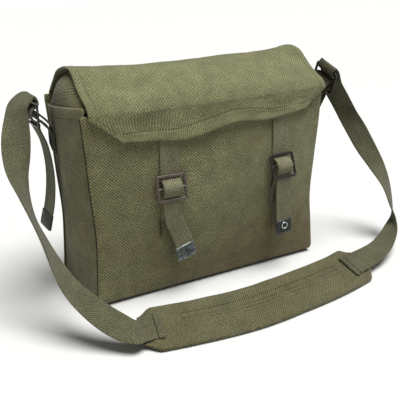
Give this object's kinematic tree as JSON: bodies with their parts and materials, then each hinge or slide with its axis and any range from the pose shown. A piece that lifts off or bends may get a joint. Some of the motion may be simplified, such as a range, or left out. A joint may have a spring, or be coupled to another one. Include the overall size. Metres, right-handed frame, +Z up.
{
  "type": "canvas haversack",
  "caption": "Small canvas haversack with an arched lid held by narrow webbing straps and slide buckles, and a padded shoulder strap that lies on the floor in front.",
  "frame": {"origin": "middle of the bag's flat bottom, on the floor", "axes": "+X towards the bag's right as seen from the front, +Y towards its back, +Z up; the closing straps are on the -Y side"},
  "size_m": [0.5739, 0.272, 0.2917],
  "materials": {
    "canvas": "coarse woven olive canvas",
    "webbing": "ribbed cotton webbing",
    "enamel": "dark brown enamel, lightly worn",
    "steel": "dulled plating with bright edges"
  },
  "bodies": {
    "root": {"main_panel": "canvas", "gusset_left": "canvas", "gusset_right": "canvas", "weather_flap_left": "canvas", "weather_flap_right": "canvas", "lid": "canvas", "closing_strap_left": "webbing", "closing_chape_left": "webbing", "closing_buckle_left": "enamel", "closing_tip_left": "steel", "closing_strap_right": "webbing", "closing_chape_right": "webbing", "closing_buckle_right": "enamel", "closing_tip_right": "steel", "shoulder_strap_left": "webbing", "shoulder_chape_left": "webbing", "shoulder_buckle_left": "enamel", "shoulder_tip_left": "steel", "shoulder_strap_right": "webbing", "shoulder_chape_right": "webbing", "shoulder_buckle_right": "enamel", "shoulder_tip_right": "steel", "shoulder_pad": "canvas"}
  },
  "joints": []
}
